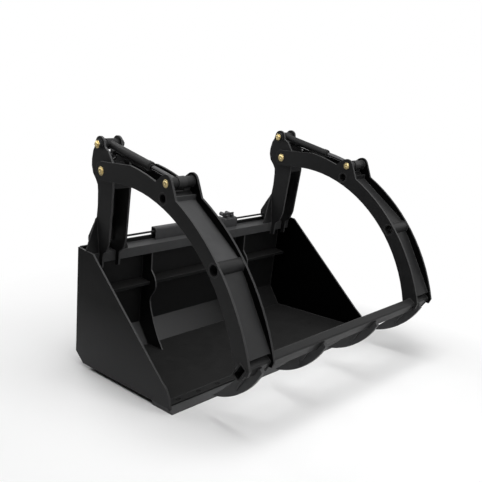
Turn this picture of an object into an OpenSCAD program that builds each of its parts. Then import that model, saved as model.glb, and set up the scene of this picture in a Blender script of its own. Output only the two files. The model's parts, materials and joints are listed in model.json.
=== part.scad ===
/* [Bucket] */
// Overall width over the side plates
bucket_w = 1880; // [1500:10:2400]
// Side plate thickness
side_t = 12; // [8:1:16]
// Thickness of the floor, heel and back sheet
sheet_t = 12; // [8:1:16]
// Depth of the floor from the arm pivot line forward to the weld-on edge
floor_front = 590; // [500:5:700]
// Height of the back sheet measured along the sheet
back_h = 735; // [650:5:850]
// Forward lean of the back sheet
back_lean = 8.7; // [0:0.1:15]
// Thickness of the bolt-on cutting edge
edge_t = 25; // [20:1:30]
// Depth of the bolt-on cutting edge front to back
edge_d = 185; // [150:5:220]
// Pitch of the plow bolts along the edge
bolt_pitch = 152.4; // [140:0.1:160]
// Number of plow bolts
bolt_n = 12; // [4:2:12]
// Shank diameter of the plow bolts
bolt_d = 19; // [12:0.5:22]
// Height of the top tube section
tube_h = 64; // [50:1:80]
// Depth of the top tube section
tube_d = 100; // [80:1:120]
// Wall of the top tube
tube_wall = 6; // [4:0.5:10]
// Distance of each inner rib from the middle
rib_x = 440; // [300:5:560]

/* [Coupling plate] */
// Width of the rear coupling plate
attach_w = 1143; // [1080:1:1200]
// Height of the rear coupling plate
attach_h = 450; // [400:5:480]
// Stand-off of the coupling plate behind the back sheet
attach_off = 40; // [30:1:60]
// Width of each latch slot
latch_w = 60; // [40:1:80]

/* [Towers] */
// Distance of each arm's middle in from the bucket's side
arm_inset = 150; // [130:1:250]
// Height of the arm pivot above the ground
pivot_z = 1300; // [1200:10:1400]
// Outside width of a tower over its two plates
tower_w = 133; // [120:1:140]
// Thickness of the tower and arm plates
plate_t = 12.7; // [10:0.1:15]
// Arm pivot pin diameter
pivot_d = 50; // [40:1:56]
// Cylinder base pin diameter
top_d = 32; // [25:1:40]

/* [Clamp] */
// Outside width of an arm over its two plates
arm_w = 190; // [176:1:200]
// Outer edge radius of the arm plates
arm_r_out = 1202; // [1190:1:1215]
// How much smaller the radius of the arm plates' inner edge is
arm_less = 227; // [210:1:240]
// Long side of the crossbar section
bar_h = 98; // [80:1:110]
// Short side of the crossbar section
bar_d = 54; // [40:1:60]
// Wall of the crossbar
bar_wall = 8; // [5:0.5:10]
// Rod pin diameter
rod_pin_d = 28; // [22:1:34]
// Radius of the outer edge of each tine
tine_r = 520; // [505:1:535]
// Thickness of each tine
tine_t = 22; // [12:1:30]
// Spacing of the tines along the crossbar
tine_pitch = 514; // [480:1:520]

/* [Cylinders] */
// Barrel outside diameter
barrel_d = 52; // [46:1:60]
// Barrel bore
barrel_bore = 44; // [36:1:50]
// Rod diameter
rod_d = 26; // [20:1:32]
// Rod eye outside diameter
eye_d = 68; // [66:1:84]
// Rod eye hole, wide so the linkage can swing free
eye_hole = 52; // [50:0.5:56]

/* [Fits] */
// Radial clearance of a running fit
run_gap = 0.05; // [0.02:0.01:0.1]
// Radial clearance of a fixed pin in its hole
fix_gap = 0.3; // [0.2:0.05:0.5]
// Side clearance between moving faces
side_gap = 0.3; // [0.2:0.05:1]

/* [Hidden] */
$fn = 48;
half_in = bucket_w / 2 - side_t;
half_out = bucket_w / 2;
arm_x = half_out - arm_inset;
wear_x = half_out - 290;
bolt_count = min(
  bolt_n, 2 * floor(((bucket_w - 120) / bolt_pitch + 1) / 2)
);
floor_z = edge_t;
floor_top = floor_z + sheet_t;
heel_y = 330;
heel_z = floor_z + 69;
lean_s = sin(back_lean);
lean_c = cos(back_lean);
inner_heel_y = 208;
inner_heel_t = 94;
tube_t1 = back_h - 25;
tube_t0 = tube_t1 - tube_h;
weld_gap = 0.02;
tube_s1 = sheet_t + tube_d + weld_gap;
ledge_t = 435;
ledge_h = 20;
ledge_s = 108;
guard_s = 52;
guard_t = back_h + 58;
guard_wall = 6;
guard_x0 = -380;
guard_x1 = 245;
cover_x1 = 390;
cover_t = back_h + 45;
pipe_s = 30;
pipe_t = back_h + 30;
pipe_d = 14;
coupler_t = back_h + 62;
coupler_xs = [290, 345];
tower_in = tower_w / 2 - plate_t;
tower_out = tower_w / 2;
arm_in = arm_w / 2 - plate_t;
arm_out = arm_w / 2;
top_y = 43;
top_z = 151;
out_cy = -60.6;
out_cz = 75 - arm_r_out;
arm_r_in = arm_r_out - arm_less;
in_cy = -163;
in_cz = -60 - arm_r_in;
rodpin = on_arm(-34.3, 116.43);
rodpin_y = rodpin[0];
rodpin_z = rodpin[1];
cyl_len = norm([rodpin_y - top_y, rodpin_z - top_z]);
cyl_ang = atan2(top_z - rodpin_z, top_y - rodpin_y);
t1 = on_arm(52.5, 116.92);
t1_y = t1[0];
t1_z = t1[1];
t1_d = 68;
t2 = on_arm(41, 142.36);
t2_y = t2[0];
t2_z = t2[1];
t2_d = 76;
web_t = 10;
bar = on_arm(72.8, 168.71);
bar_y = bar[0];
bar_z = bar[1];
bar_ang = 36.5;
bar_round = 12;
tine_cy = bar_y + 389;
tine_cz = bar_z + 247;
fin_t = 8;
fin_w = 22;
fin_end = 218;
eye_half = 28;
foot = P(96, tube_t1) + [0, 0.7];
base_half = 30;

// Point on the leaning back, s forward from its rear face, t up along it
function P(s, t) = [
  heel_y - t * lean_s - s * lean_c,
  heel_z + t * lean_c - s * lean_s
];

// Point given from the arm pivot
function V(y, z) = [y, pivot_z + z];

// Place on an arm from its pivot, d in from the outer edge, in direction a
function on_arm(d, a) = [
  out_cy + (arm_r_out - d) * cos(a),
  out_cz + (arm_r_out - d) * sin(a)
];

// The same place above the ground
function A(d, a) = on_arm(d, a) + [0, pivot_z];

// Points along a round stretch
function arc_pts(cy, cz, r, a0, a1, n) = [
  for (i = [0:n])
    let (a = a0 + (a1 - a0) * i / n)
    [cy + r * cos(a), cz + r * sin(a)]
];

// Outline of a section with round corners about the middle
function round_rect(w, h, r) = concat(
  arc_pts(w / 2 - r, h / 2 - r, r, 0, 90, 5),
  arc_pts(r - w / 2, h / 2 - r, r, 90, 180, 5),
  arc_pts(r - w / 2, r - h / 2, r, 180, 270, 5),
  arc_pts(w / 2 - r, r - h / 2, r, 270, 360, 5)
);

// Point of a tine, d in from its outer edge, in direction a
function tine_pt(d, a) = [
  tine_cy + (tine_r - d) * cos(a),
  pivot_z + tine_cz + (tine_r - d) * sin(a)
];

// Unit side vector of a segment
function side_of(a, b) = [b[1] - a[1], a[0] - b[0]] / norm(b - a);

// Corner of a strip moved sideways by its thickness
function off_pt(p, i, th) =
  i == 0 ? p[0] + th * side_of(p[0], p[1]) :
  i == len(p) - 1 ? p[i] + th * side_of(p[i - 1], p[i]) :
  let (a = side_of(p[i - 1], p[i]), b = side_of(p[i], p[i + 1]))
  p[i] + th / (1 + a * b) * (a + b);

// Closed outline of a bent strip
function strip(p, th) = concat(
  p, [for (i = [len(p) - 1:-1:0]) off_pt(p, i, th)]
);

// Side profile pushed out along the width
module across(x0, x1) {
  translate([x0, 0, 0])
    rotate([90, 0, 90])
      linear_extrude(x1 - x0)
        children();
}

// Frame of the leaning back, forward is -y and up the sheet is z
module leaning() {
  translate([0, heel_y, heel_z])
    rotate([back_lean, 0, 0])
      children();
}

// Frame of the crossbar section
module at_bar() {
  translate([0, bar_y, pivot_z + bar_z])
    rotate([bar_ang, 0, 0])
      children();
}

// Frame of a cylinder, the rod points along -y
module at_cylinder() {
  translate([0, top_y, pivot_z + top_z])
    rotate([cyl_ang, 0, 0])
      children();
}

// Round bar along the width, given from the arm pivot
module bar_x(y, z, d, x0, x1) {
  translate([x0, y, pivot_z + z])
    rotate([0, 90, 0])
      cylinder(d = d, h = x1 - x0);
}

// Both sides of the tool
module both_sides() {
  for (s = [-1, 1])
    translate([s * arm_x, 0, 0])
      children();
}

// Bucket side plate outline
module side_outline() {
  polygon([
    P(0, back_h - 5), P(166, back_h), [-588, floor_z + 155],
    [-641, floor_z + 112], [-666, floor_z + 60], [-672, floor_z],
    [249, floor_z], [heel_y, heel_z]
  ]);
}

module side_plate_left() {
  color("#1d1e20")
    across(-half_out, -half_in)
      side_outline();
}

module side_plate_right() {
  color("#1d1e20")
    across(half_in, half_out)
      side_outline();
}

module bucket_shell() {
  color("#232426")
    across(-half_in, half_in)
      polygon(strip([
        [-floor_front, floor_top], [inner_heel_y, floor_top],
        P(sheet_t, inner_heel_t), P(sheet_t, back_h)
      ], sheet_t));
}

// Weld-on edge with a seat for each bolt head
module base_edge() {
  color("#232426")
    difference() {
      translate([-half_in, -floor_front - 52, floor_z])
        cube([2 * half_in, 52, sheet_t]);
      at_bolts() {
        translate([0, 0, -1])
          cylinder(d = bolt_d + 2 * fix_gap, h = 60);
        translate([0, 0, floor_z + sheet_t - 9])
          cylinder(d = 36, h = 20);
      }
    }
}

module at_bolts() {
  for (i = [0:bolt_count - 1])
    translate([(i - (bolt_count - 1) / 2) * bolt_pitch, -floor_front - 28, 0])
      children();
}

module cutting_edge() {
  color("#2a2a2b")
    difference() {
      across(-half_out, half_out)
        polygon([
          [-690 + edge_d, 0], [-690 + edge_d, edge_t], [-645, edge_t],
          [-690, 8], [-690, 0]
        ]);
      at_bolts() {
        translate([0, 0, -1])
          cylinder(d = bolt_d + 2 * fix_gap, h = 60);
        translate([0, 0, -1])
          cylinder(d = 40, h = 18);
      }
    }
}

module edge_bolts() {
  color("#101010")
    at_bolts() {
      translate([0, 0, floor_z + sheet_t - 9])
        cylinder(d = 34, h = 7);
      translate([0, 0, 2])
        cylinder(d = bolt_d, h = floor_z + sheet_t - 9);
      translate([0, 0, 2])
        cylinder(d = 33, h = 15, $fn = 6);
    }
}

module wear_bars() {
  color("#232426")
    for (x = [-wear_x, 0, wear_x])
      translate([x - 50, -480, 0])
        cube([100, 670, floor_z]);
}

module top_tube() {
  color("#1f2022")
    leaning()
      translate([-half_in, -tube_s1, tube_t0])
        difference() {
          cube([2 * half_in, tube_d, tube_h]);
          translate([-1, tube_wall, tube_wall])
            cube([
              2 * half_in + 2, tube_d - 2 * tube_wall,
              tube_h - 2 * tube_wall
            ]);
        }
}

module mid_ledge() {
  color("#232426")
    across(-half_in, half_in)
      polygon([
        P(sheet_t, ledge_t), P(ledge_s, ledge_t),
        P(ledge_s, ledge_t - ledge_h), P(ledge_s - 10, ledge_t - ledge_h),
        P(ledge_s - 10, ledge_t - 10), P(sheet_t, ledge_t - 10)
      ]);
}

module back_ribs() {
  color("#1f2022")
    for (x = [-rib_x, rib_x])
      across(x - 5, x + 5)
        difference() {
          polygon([
            P(sheet_t, tube_t0), P(106, tube_t0), [141, 592], [108, 548],
            [98, 520], [98, 480], [112, 452], [160, 397], [170, 370],
            [166, 322], [142, 233], [101, 133], [59, 64],
            [45, floor_top], [inner_heel_y, floor_top],
            P(sheet_t, inner_heel_t)
          ]);
          polygon([
            P(0, ledge_t), P(ledge_s, ledge_t),
            P(ledge_s, ledge_t - ledge_h), P(0, ledge_t - ledge_h)
          ]);
        }
}

// Rear coupling plate on its stand-off ribs
module attach_plate() {
  color("#1f2022")
    leaning()
      difference() {
        translate([-attach_w / 2, attach_off, 150])
          cube([attach_w, 10, attach_h]);
        for (x = [-300, 0, 300])
          translate([x - 90, attach_off - 1, 270])
            cube([180, 12, 200]);
      }
}

module attach_lip() {
  color("#1f2022")
    leaning()
      across(-attach_w / 2, attach_w / 2)
        polygon([
          [attach_off, 150 + attach_h], [attach_off, 162 + attach_h],
          [attach_off + 24, 162 + attach_h],
          [attach_off + 47, 139 + attach_h],
          [attach_off + 39, 131 + attach_h],
          [attach_off + 20, 150 + attach_h]
        ]);
}

module attach_flange() {
  color("#1f2022")
    leaning()
      difference() {
        across(-attach_w / 2, attach_w / 2)
          polygon([
            [attach_off, 150], [attach_off + 10, 150],
            [attach_off + 56, 123], [attach_off + 51, 114],
            [attach_off, 144]
          ]);
        for (x = [-451, 451])
          translate([x - latch_w / 2, attach_off + 18, 100])
            cube([latch_w, 22, 60]);
      }
}

module attach_ribs() {
  color("#1f2022")
    leaning()
      for (x = [-535, -180, 180, 535])
        translate([x - 6, 0, 110])
          cube([12, attach_off, attach_h + 40]);
}

// Formed cover over the hoses behind the top tube
module hose_guard() {
  color("#1d1e20")
    leaning()
      across(guard_x0, guard_x1)
        polygon([
          [-guard_s, tube_t1], [-guard_s, guard_t - 14],
          [-guard_s + 2, guard_t - 7], [-guard_s + 7, guard_t - 2],
          [-guard_s + 14, guard_t], [-9, guard_t], [-3, guard_t - 2],
          [0, guard_t - 8], [0, back_h], [-guard_wall, back_h],
          [-guard_wall, guard_t - guard_wall - 2],
          [-guard_s + guard_wall + 8, guard_t - guard_wall - 2],
          [-guard_s + guard_wall, guard_t - guard_wall - 9],
          [-guard_s + guard_wall, tube_t1]
        ]);
}

module guard_cover() {
  color("#1d1e20")
    leaning()
      difference() {
        union() {
          across(guard_x1, cover_x1)
            polygon([
              [-guard_s, tube_t1], [-guard_s, cover_t - 10],
              [-guard_s + 10, cover_t], [0, cover_t], [0, back_h],
              [-guard_wall, back_h], [-guard_wall, cover_t - guard_wall],
              [-guard_s + 12, cover_t - guard_wall],
              [-guard_s + guard_wall, cover_t - guard_wall - 6],
              [-guard_s + guard_wall, tube_t1]
            ]);
          translate([coupler_xs[0] - 26, -26, cover_t - 1])
            cube([coupler_xs[1] - coupler_xs[0] + 52, 6, 36]);
        }
        for (x = coupler_xs)
          translate([x, -40, coupler_t])
            rotate([-90, 0, 0])
              cylinder(d = 18 + 2 * fix_gap, h = 30);
      }
}

// Bulkhead couplings for the two supply hoses
module couplers() {
  color("#8c8d8f")
    leaning()
      for (x = coupler_xs)
        translate([x, 0, coupler_t]) {
          translate([0, -48, 0])
            rotate([-90, 0, 0])
              cylinder(d = 18, h = 60);
          translate([0, -20, 0])
            rotate([-90, 0, 0])
              cylinder(d = 28, h = 8, $fn = 6);
          translate([0, -12, 0])
            rotate([-90, 0, 0])
              cylinder(d = 30, h = 44);
          translate([0, -34, 0])
            rotate([-90, 0, 0])
              cylinder(d = 26, h = 8, $fn = 6);
        }
}

// Steel lines from the guard to the towers
module hydraulic_lines() {
  color("#1d1e20")
    leaning()
      for (s = [-1, 1])
        translate([0, -pipe_s, pipe_t]) {
          translate([s > 0 ? 300 : -arm_x + tower_out, 0, 0])
            rotate([0, 90, 0])
              cylinder(d = pipe_d, h = arm_x - tower_out - 300);
          translate([s > 0 ? arm_x - tower_out - 18 : -arm_x + tower_out, 0, 0])
            rotate([0, 90, 0])
              cylinder(d = 26, h = 18, $fn = 6);
        }
}

// Tower plate outline
module tower_outline() {
  difference() {
    union() {
      polygon(concat(
        [
          V(-77, 49), V(-40, 112), V(-4, 137),
          V(top_y - 42, top_z + 23)
        ],
        arc_pts(top_y, pivot_z + top_z, 48, 151, 15, 10),
        [
          V(100, 138), V(120, 113), V(140, 62), V(146, 22), V(136, -24),
          V(108, -60), V(92, -90), V(92, -130), V(103, -217), V(121, -290),
          V(172, -350), P(-22, back_h + 48), P(-22, back_h + 30),
          P(-16, back_h),
          P(sheet_t, back_h), P(sheet_t, tube_t1), P(tube_s1, tube_t1),
          P(tube_s1, tube_t0 - 34), P(tube_s1 + 32, tube_t0 - 22),
          P(tube_s1 + 37, tube_t0 + 72), P(tube_s1 + 77, tube_t0 + 113),
          V(0, -430), V(-68, -105)
        ]
      ));
    }
    translate([0, pivot_z])
      circle(d = pivot_d + 2 * fix_gap);
    translate([top_y, pivot_z + top_z])
      circle(d = top_d + 2 * fix_gap);
  }
}

module tower_left_outer_plate() {
  color("#1d1e20")
    across(-arm_x - tower_out, -arm_x - tower_in)
      tower_outline();
}

module tower_left_inner_plate() {
  color("#1d1e20")
    across(-arm_x + tower_in, -arm_x + tower_out)
      tower_outline();
}

module tower_right_outer_plate() {
  color("#1d1e20")
    across(arm_x + tower_in, arm_x + tower_out)
      tower_outline();
}

module tower_right_inner_plate() {
  color("#1d1e20")
    across(arm_x - tower_out, arm_x - tower_in)
      tower_outline();
}

// Web closing the rear of the column
module column_web() {
  across(-tower_in, tower_in)
    polygon(strip([
      V(84, -100), V(84, -130), V(95, -217), V(112, -285),
      V(162, -345), V(205, -400)
    ], -10));
}

module tower_left_column_web() {
  color("#17181a")
    translate([-arm_x, 0, 0])
      column_web();
}

module tower_right_column_web() {
  color("#17181a")
    translate([arm_x, 0, 0])
      column_web();
}

// Web across the front of the tower head
module head_web() {
  across(-tower_in, tower_in)
    polygon([
      V(-70, -104), V(-76, 20), V(-66, 20), V(-60, -104)
    ]);
}

module tower_left_head_web() {
  color("#1d1e20")
    translate([-arm_x, 0, 0])
      head_web();
}

module tower_right_head_web() {
  color("#1d1e20")
    translate([arm_x, 0, 0])
      head_web();
}

// Hub tube round the pivot pin
module hub() {
  difference() {
    bar_x(0, 0, 90, -tower_in, tower_in);
    bar_x(0, 0, pivot_d + 2 * fix_gap, -tower_in - 1, tower_in + 1);
  }
}

module tower_left_hub() {
  color("#1d1e20")
    translate([-arm_x, 0, 0])
      hub();
}

module tower_right_hub() {
  color("#1d1e20")
    translate([arm_x, 0, 0])
      hub();
}

// Upright gusset, w wide, stepped over the side plate, beside a tower
module upright(x0, w, step_x, step_z) {
  translate([x0, foot[0], 0])
    rotate([90, 0, 0])
      linear_extrude(10)
        polygon([
          [0, foot[1]], [step_x, foot[1]], [step_x, step_z], [w, step_z],
          [w, step_z + 12], [6, pivot_z - 300], [0, pivot_z - 300]
        ]);
}

module tower_gussets_outer() {
  color("#1d1e20")
    for (s = [0, 1])
      mirror([s, 0, 0])
        upright(
          arm_x + tower_out, half_out - arm_x - tower_out,
          half_in - arm_x - tower_out, foot[1] + 23
        );
}

module tower_gussets_inner() {
  color("#1d1e20")
    for (s = [0, 1])
      mirror([s, 0, 0])
        mirror([1, 0, 0])
          upright(tower_out - arm_x, 83, 83, foot[1]);
}

module pivot_pins() {
  color("#c9b26a")
    both_sides() {
      bar_x(0, 0, pivot_d, -arm_out - 1, arm_out + 1);
      bar_x(0, 0, 66, arm_out + side_gap, arm_out + 8);
      bar_x(0, 0, 66, -arm_out - 8, -arm_out - side_gap);
    }
}

module pivot_washers() {
  color("#26272a")
    both_sides()
      for (s = [0, 1])
        mirror([s, 0, 0])
          difference() {
            bar_x(0, 0, 84, tower_out, arm_in - side_gap);
            bar_x(0, 0, pivot_d + 2 * fix_gap, tower_out - 1, arm_in + 1);
          }
}

module top_pins() {
  color("#c9b26a")
    both_sides() {
      bar_x(top_y, top_z, top_d, -tower_out - 20, tower_out + 20);
      bar_x(top_y, top_z, 59, tower_out + 16, tower_out + 30);
      bar_x(top_y, top_z, 59, -tower_out - 30, -tower_out - 16);
    }
}

module top_spacers() {
  color("#1d1e20")
    both_sides()
      for (s = [0, 1])
        mirror([s, 0, 0])
          difference() {
            bar_x(top_y, top_z, 58, base_half + 1, tower_in);
            bar_x(
              top_y, top_z, top_d + 2 * fix_gap, base_half, tower_in + 1
            );
          }
}

module top_collars() {
  color("#26272a")
    both_sides()
      for (s = [0, 1])
        mirror([s, 0, 0])
          difference() {
            bar_x(top_y, top_z, 54, tower_out, tower_out + 16);
            bar_x(
              top_y, top_z, top_d + 2 * fix_gap, tower_out - 1,
              tower_out + 17
            );
          }
}

// Arm plate outline
module arm_outline() {
  difference() {
    union() {
      polygon(concat(
        arc_pts(0, pivot_z, 57, -75, 80, 12),
        [V(-80, 54)],
        arc_pts(out_cy, pivot_z + out_cz, arm_r_out, 101.5, 168.4, 20),
        [A(21.9, 169.8), A(62.5, 169.2), A(116.2, 167.8)],
        arc_pts(in_cy, pivot_z + in_cz, arm_r_in, 171.5, 92.2, 20)
      ));
      polygon([
        A(0.7, 112.5), A(-61.5, 114.6), A(-68.8, 118), A(0, 121.6),
        A(59.6, 118.2)
      ]);
      translate([rodpin_y, pivot_z + rodpin_z])
        circle(r = 48);
    }
    translate([0, pivot_z])
      circle(d = pivot_d + 2 * run_gap);
    translate([rodpin_y, pivot_z + rodpin_z])
      circle(d = rod_pin_d + 2 * fix_gap);
    translate([t1_y, pivot_z + t1_z])
      circle(d = t1_d + 2 * fix_gap);
    translate([t2_y, pivot_z + t2_z])
      circle(d = t2_d + 2 * fix_gap);
    translate([bar_y, pivot_z + bar_z])
      rotate(bar_ang)
        square([bar_d, bar_h], center = true);
  }
}

module arm_left_outer_plate() {
  color("#1d1e20")
    across(-arm_x - arm_out, -arm_x - arm_in)
      arm_outline();
}

module arm_left_inner_plate() {
  color("#1d1e20")
    across(-arm_x + arm_in, -arm_x + arm_out)
      arm_outline();
}

module arm_right_outer_plate() {
  color("#1d1e20")
    across(arm_x + arm_in, arm_x + arm_out)
      arm_outline();
}

module arm_right_inner_plate() {
  color("#1d1e20")
    across(arm_x - arm_out, arm_x - arm_in)
      arm_outline();
}

// Open cross tube through both plates of an arm
module cross_tube(y, z, d) {
  difference() {
    bar_x(y, z, d, -arm_out, arm_out);
    bar_x(y, z, d - 16, -arm_out - 1, arm_out + 1);
  }
}

module arm_left_tube_upper() {
  color("#1d1e20")
    translate([-arm_x, 0, 0])
      cross_tube(t1_y, t1_z, t1_d);
}

module arm_right_tube_upper() {
  color("#1d1e20")
    translate([arm_x, 0, 0])
      cross_tube(t1_y, t1_z, t1_d);
}

module arm_left_tube_lower() {
  color("#1d1e20")
    translate([-arm_x, 0, 0])
      cross_tube(t2_y, t2_z, t2_d);
}

module arm_right_tube_lower() {
  color("#1d1e20")
    translate([arm_x, 0, 0])
      cross_tube(t2_y, t2_z, t2_d);
}

// Flat web inside an arm, outer face through the given points
module arm_web(pts) {
  across(-arm_in, arm_in)
    difference() {
      polygon(strip(pts, -web_t));
      translate([t2_y, pivot_z + t2_z])
        circle(d = t2_d + 2 * fix_gap);
    }
}

module web_upper() {
  arm_web([A(10.8, 119.4), A(37.6, 119.8), A(18, 141.6)]);
}

module web_lower() {
  arm_web([A(32.9, 143.5), A(16.3, 166)]);
}

module arm_left_web_upper() {
  color("#26272a")
    translate([-arm_x, 0, 0])
      web_upper();
}

module arm_right_web_upper() {
  color("#26272a")
    translate([arm_x, 0, 0])
      web_upper();
}

module arm_left_web_lower() {
  color("#26272a")
    translate([-arm_x, 0, 0])
      web_lower();
}

module arm_right_web_lower() {
  color("#26272a")
    translate([arm_x, 0, 0])
      web_lower();
}

// Small plate between the rod pin bosses and the upper cross tube
module pin_gussets() {
  color("#1d1e20")
    both_sides()
      translate([0, rodpin_y, pivot_z + rodpin_z])
        rotate([20.1, 0, 0])
          difference() {
            translate([-arm_in, -4, -58])
              cube([2 * arm_in, 8, 28]);
            translate([-eye_half - 8, -5, -51])
              cube([2 * eye_half + 16, 10, 30]);
            translate([-arm_in - 1, 0, -87.4])
              rotate([0, 90, 0])
                cylinder(d = t1_d + 2 * fix_gap, h = 2 * arm_in + 2);
            translate([-arm_in - 1, 0, 0])
              rotate([0, 90, 0])
                cylinder(d = 60 + 2 * fix_gap, h = 2 * arm_in + 2);
          }
}

module rod_pins() {
  color("#c9b26a")
    both_sides() {
      bar_x(rodpin_y, rodpin_z, rod_pin_d, -arm_out - 1, arm_out + 1);
      bar_x(rodpin_y, rodpin_z, 54, arm_out, arm_out + 5);
      bar_x(rodpin_y, rodpin_z, 54, -arm_out - 5, -arm_out);
    }
}

module rod_bosses() {
  color("#26272a")
    both_sides()
      for (s = [0, 1])
        mirror([s, 0, 0])
          difference() {
            bar_x(rodpin_y, rodpin_z, 60, eye_half + 2, arm_in);
            bar_x(
              rodpin_y, rodpin_z, rod_pin_d + 2 * fix_gap, eye_half,
              arm_in + 1
            );
          }
}

module crossbar() {
  color("#26272a")
    at_bar()
      difference() {
        across(-arm_x - arm_out, arm_x + arm_out)
          polygon(round_rect(bar_d, bar_h, bar_round));
        across(-arm_x - arm_out - 1, arm_x + arm_out + 1)
          square([bar_d - 2 * bar_wall, bar_h - 2 * bar_wall], center = true);
      }
}

// Curved tine wrapped round the crossbar's lower front corner
module tine_outline() {
  difference() {
    polygon(concat(
      arc_pts(tine_cy, pivot_z + tine_cz, tine_r, 262.1, 210.8, 20),
      [
        tine_pt(21, 209.5), V(bar_y, bar_z), tine_pt(78, 219.1),
        tine_pt(83, 221.8), tine_pt(72, 238), tine_pt(41, 251.5),
        tine_pt(11, 259.6)
      ]
    ));
    translate([bar_y, pivot_z + bar_z])
      rotate(bar_ang)
        square([bar_d, bar_h], center = true);
  }
}

module clamp_tines() {
  color("#232426")
    for (i = [0:3])
      across((i - 1.5) * tine_pitch - tine_t / 2, (i - 1.5) * tine_pitch + tine_t / 2)
        tine_outline();
}

// Tapered fins on both faces of each tine
module tine_fins() {
  color("#1d1e20")
    at_bar()
      for (i = [0:3])
        for (s = [0, 1])
          translate([(i - 1.5) * tine_pitch, fin_t / 2, 0])
            mirror([s, 0, 0])
              rotate([90, 0, 0])
                linear_extrude(fin_t)
                  polygon([
                    [tine_t / 2, -bar_h / 2], [tine_t / 2, -fin_end],
                    [tine_t / 2 + 4, -fin_end],
                    [tine_t / 2 + fin_w, -bar_h / 2]
                  ]);
}

// Barrel with its base eye, gland and line
module cylinder_body() {
  at_cylinder()
    difference() {
      union() {
        translate([-base_half, 0, 0])
          rotate([0, 90, 0])
            cylinder(d = 66, h = 2 * base_half);
        translate([0, -20, 0])
          rotate([90, 0, 0])
            cylinder(d = barrel_d, h = 376);
        translate([0, -392, 0])
          rotate([90, 0, 0])
            cylinder(d = barrel_d + 5, h = 28);
        translate([0, -372, -barrel_d / 2 - 8])
          rotate([-90, 0, 0])
            cylinder(d = 12, h = 322);
        translate([0, -378, -barrel_d / 2 - 14])
          cylinder(d = 22, h = 20);
        translate([0, -62, -barrel_d / 2 - 16])
          cylinder(d = 24, h = 22);
      }
      translate([-base_half - 1, 0, 0])
        rotate([0, 90, 0])
          cylinder(d = top_d + 2 * run_gap, h = 2 * base_half + 2);
      translate([0, -60, 0])
        rotate([90, 0, 0])
          cylinder(d = barrel_bore, h = 336);
      translate([0, -380, 0])
        rotate([90, 0, 0])
          cylinder(d = rod_d + 2 * run_gap, h = 60);
    }
}

module cylinder_left() {
  color("#1d1e20")
    translate([-arm_x, 0, 0])
      cylinder_body();
}

module cylinder_right() {
  color("#1d1e20")
    translate([arm_x, 0, 0])
      cylinder_body();
}

// Piston rod with its eye
module rod_body() {
  at_cylinder()
    difference() {
      union() {
        translate([-eye_half, -cyl_len, 0])
          rotate([0, 90, 0])
            cylinder(d = eye_d, h = 2 * eye_half);
        translate([0, -340, 0])
          rotate([90, 0, 0])
            cylinder(d = rod_d, h = cyl_len - 340 - eye_hole / 2 - 4);
        translate([0, -330, 0])
          rotate([90, 0, 0])
            cylinder(d = barrel_bore - 2 * run_gap, h = 20);
      }
      translate([-eye_half - 1, -cyl_len, 0])
        rotate([0, 90, 0])
          cylinder(d = eye_hole, h = 2 * eye_half + 2);
    }
}

module rod_left() {
  color("#b9bbbd")
    translate([-arm_x, 0, 0])
      rod_body();
}

module rod_right() {
  color("#b9bbbd")
    translate([arm_x, 0, 0])
      rod_body();
}

side_plate_left();
side_plate_right();
bucket_shell();
base_edge();
cutting_edge();
edge_bolts();
wear_bars();
top_tube();
mid_ledge();
back_ribs();
attach_plate();
attach_lip();
attach_flange();
attach_ribs();
hose_guard();
guard_cover();
hydraulic_lines();
couplers();
tower_left_outer_plate();
tower_left_inner_plate();
tower_left_column_web();
tower_left_head_web();
tower_left_hub();
tower_right_outer_plate();
tower_right_inner_plate();
tower_right_column_web();
tower_right_head_web();
tower_right_hub();
tower_gussets_outer();
tower_gussets_inner();
pivot_pins();
pivot_washers();
top_pins();
top_spacers();
top_collars();
arm_left_outer_plate();
arm_left_inner_plate();
arm_left_tube_upper();
arm_left_tube_lower();
arm_left_web_upper();
arm_left_web_lower();
arm_right_outer_plate();
arm_right_inner_plate();
arm_right_tube_upper();
arm_right_tube_lower();
arm_right_web_upper();
arm_right_web_lower();
pin_gussets();
rod_pins();
rod_bosses();
crossbar();
clamp_tines();
tine_fins();
cylinder_left();
cylinder_right();
rod_left();
rod_right();
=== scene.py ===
"""Finishes, small fittings, light and camera for a bucket grapple with two arms."""

import json
import math
import re

import bmesh
import bpy
from mathutils import Matrix, Vector


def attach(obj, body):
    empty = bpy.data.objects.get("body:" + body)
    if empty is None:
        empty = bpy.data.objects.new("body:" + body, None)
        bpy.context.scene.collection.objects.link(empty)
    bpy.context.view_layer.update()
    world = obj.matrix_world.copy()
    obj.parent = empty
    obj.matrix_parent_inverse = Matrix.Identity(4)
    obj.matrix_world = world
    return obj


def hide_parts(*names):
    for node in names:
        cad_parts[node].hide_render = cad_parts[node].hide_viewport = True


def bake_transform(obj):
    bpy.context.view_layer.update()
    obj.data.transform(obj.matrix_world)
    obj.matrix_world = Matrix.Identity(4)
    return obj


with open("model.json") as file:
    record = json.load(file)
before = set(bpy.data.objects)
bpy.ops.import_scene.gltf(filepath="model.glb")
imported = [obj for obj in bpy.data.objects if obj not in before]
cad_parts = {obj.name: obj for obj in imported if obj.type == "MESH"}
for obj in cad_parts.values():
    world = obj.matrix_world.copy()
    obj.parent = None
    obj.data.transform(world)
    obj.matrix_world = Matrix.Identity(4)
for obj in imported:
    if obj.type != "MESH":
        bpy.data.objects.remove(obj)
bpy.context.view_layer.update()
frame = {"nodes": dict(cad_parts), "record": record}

bl_info = {
    "name": "Hay grapple",
    "version": (1, 0, 0),
    "blender": (4, 5, 0),
    "location": "View3D > Sidebar > Grapple",
    "description": "Paint, plating, pins, welds, hoses and a studio for a hay grapple",
    "category": "Object",
}

# Directions
UP = Vector((0, 0, 1))
FORWARD = Vector((0, -1, 0))
LEFT = Vector((-1, 0, 0))
ACROSS = Vector((1, 0, 0))

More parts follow.
